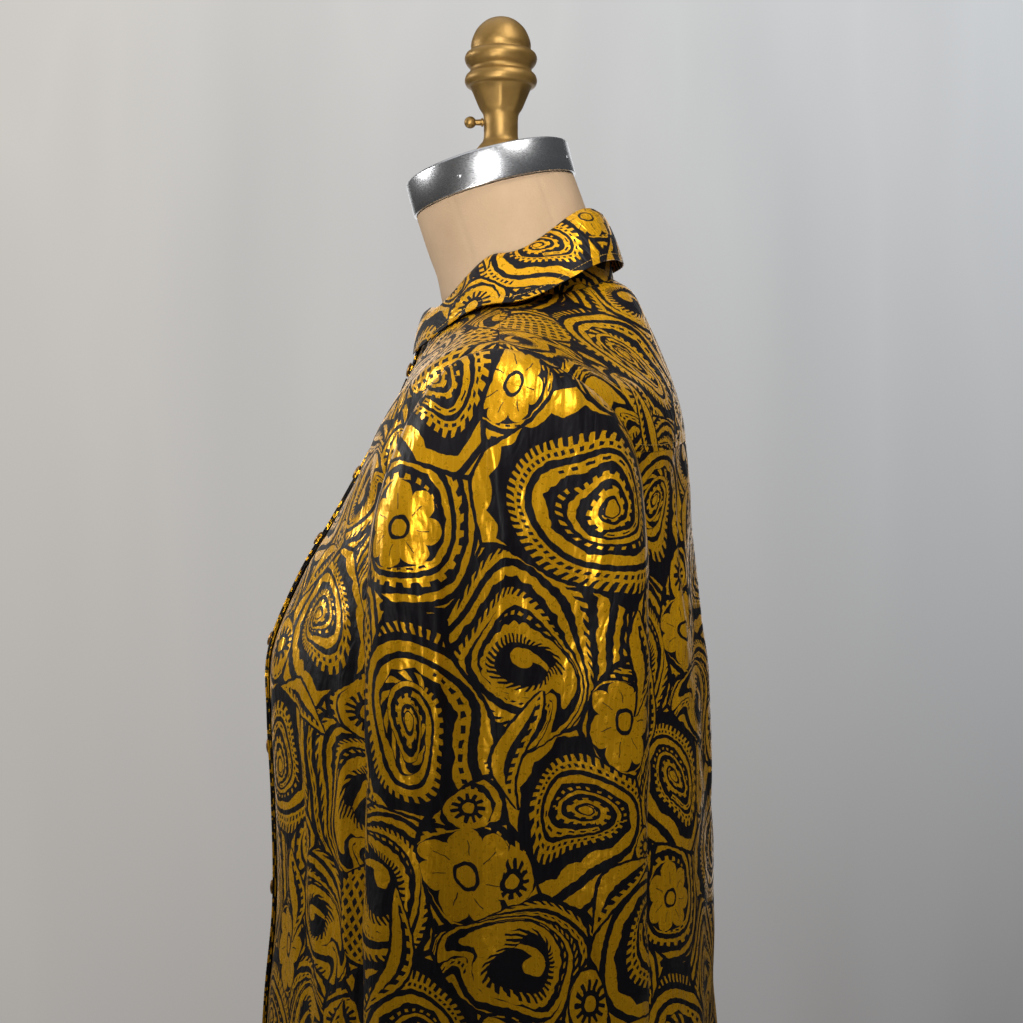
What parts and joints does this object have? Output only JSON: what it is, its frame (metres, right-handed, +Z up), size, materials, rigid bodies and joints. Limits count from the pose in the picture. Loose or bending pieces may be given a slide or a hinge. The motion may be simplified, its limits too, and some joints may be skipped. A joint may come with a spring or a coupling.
{
  "type": "paisley blouse on a dress form",
  "caption": "Long-sleeved collared blouse in gold and black paisley satin, worn on a limbless dress form with a neck band, a brass finial and a pole stand.",
  "frame": {"origin": "centre of the stand base's flat underside, on the floor", "axes": "+Z up, the wearer faces -Y, the wearer's left is +X"},
  "size_m": [0.5244, 0.43, 1.546],
  "materials": {
    "printed_satin": "gold and black paisley satin with fine metallic threads",
    "button_gold": "small domed gold buttons",
    "canvas": "beige canvas, slightly worn",
    "brushed_metal": "brushed, satin",
    "aged_brass": "aged and darkened",
    "painted_steel": "black enamel"
  },
  "bodies": {
    "form_and_blouse": {"front_left": "printed_satin", "front_right": "printed_satin", "placket": "printed_satin", "yoke": "printed_satin", "back": "printed_satin", "sleeve_left": "printed_satin", "sleeve_right": "printed_satin", "cuff_left": "printed_satin", "cuff_right": "printed_satin", "collar_stand": "printed_satin", "collar_fall": "printed_satin", "button_1": "button_gold", "button_2": "button_gold", "button_3": "button_gold", "button_4": "button_gold", "button_5": "button_gold", "button_6": "button_gold", "button_7": "button_gold", "cuff_button_left": "button_gold", "cuff_button_right": "button_gold", "form_body": "canvas", "neck_band": "brushed_metal", "finial": "aged_brass", "stand_pole": "brushed_metal", "stand_base": "painted_steel"},
    "thumb_screw": {"thumb_screw": "aged_brass"}
  },
  "joints": [
    {"name": "thumb_screw_turn", "type": "hinge", "parent": "form_and_blouse", "child": "thumb_screw", "pos_m": [0, -0.012, 1.4725], "axis": [0, -1, 0], "range_deg": [0, 720]}
  ]
}
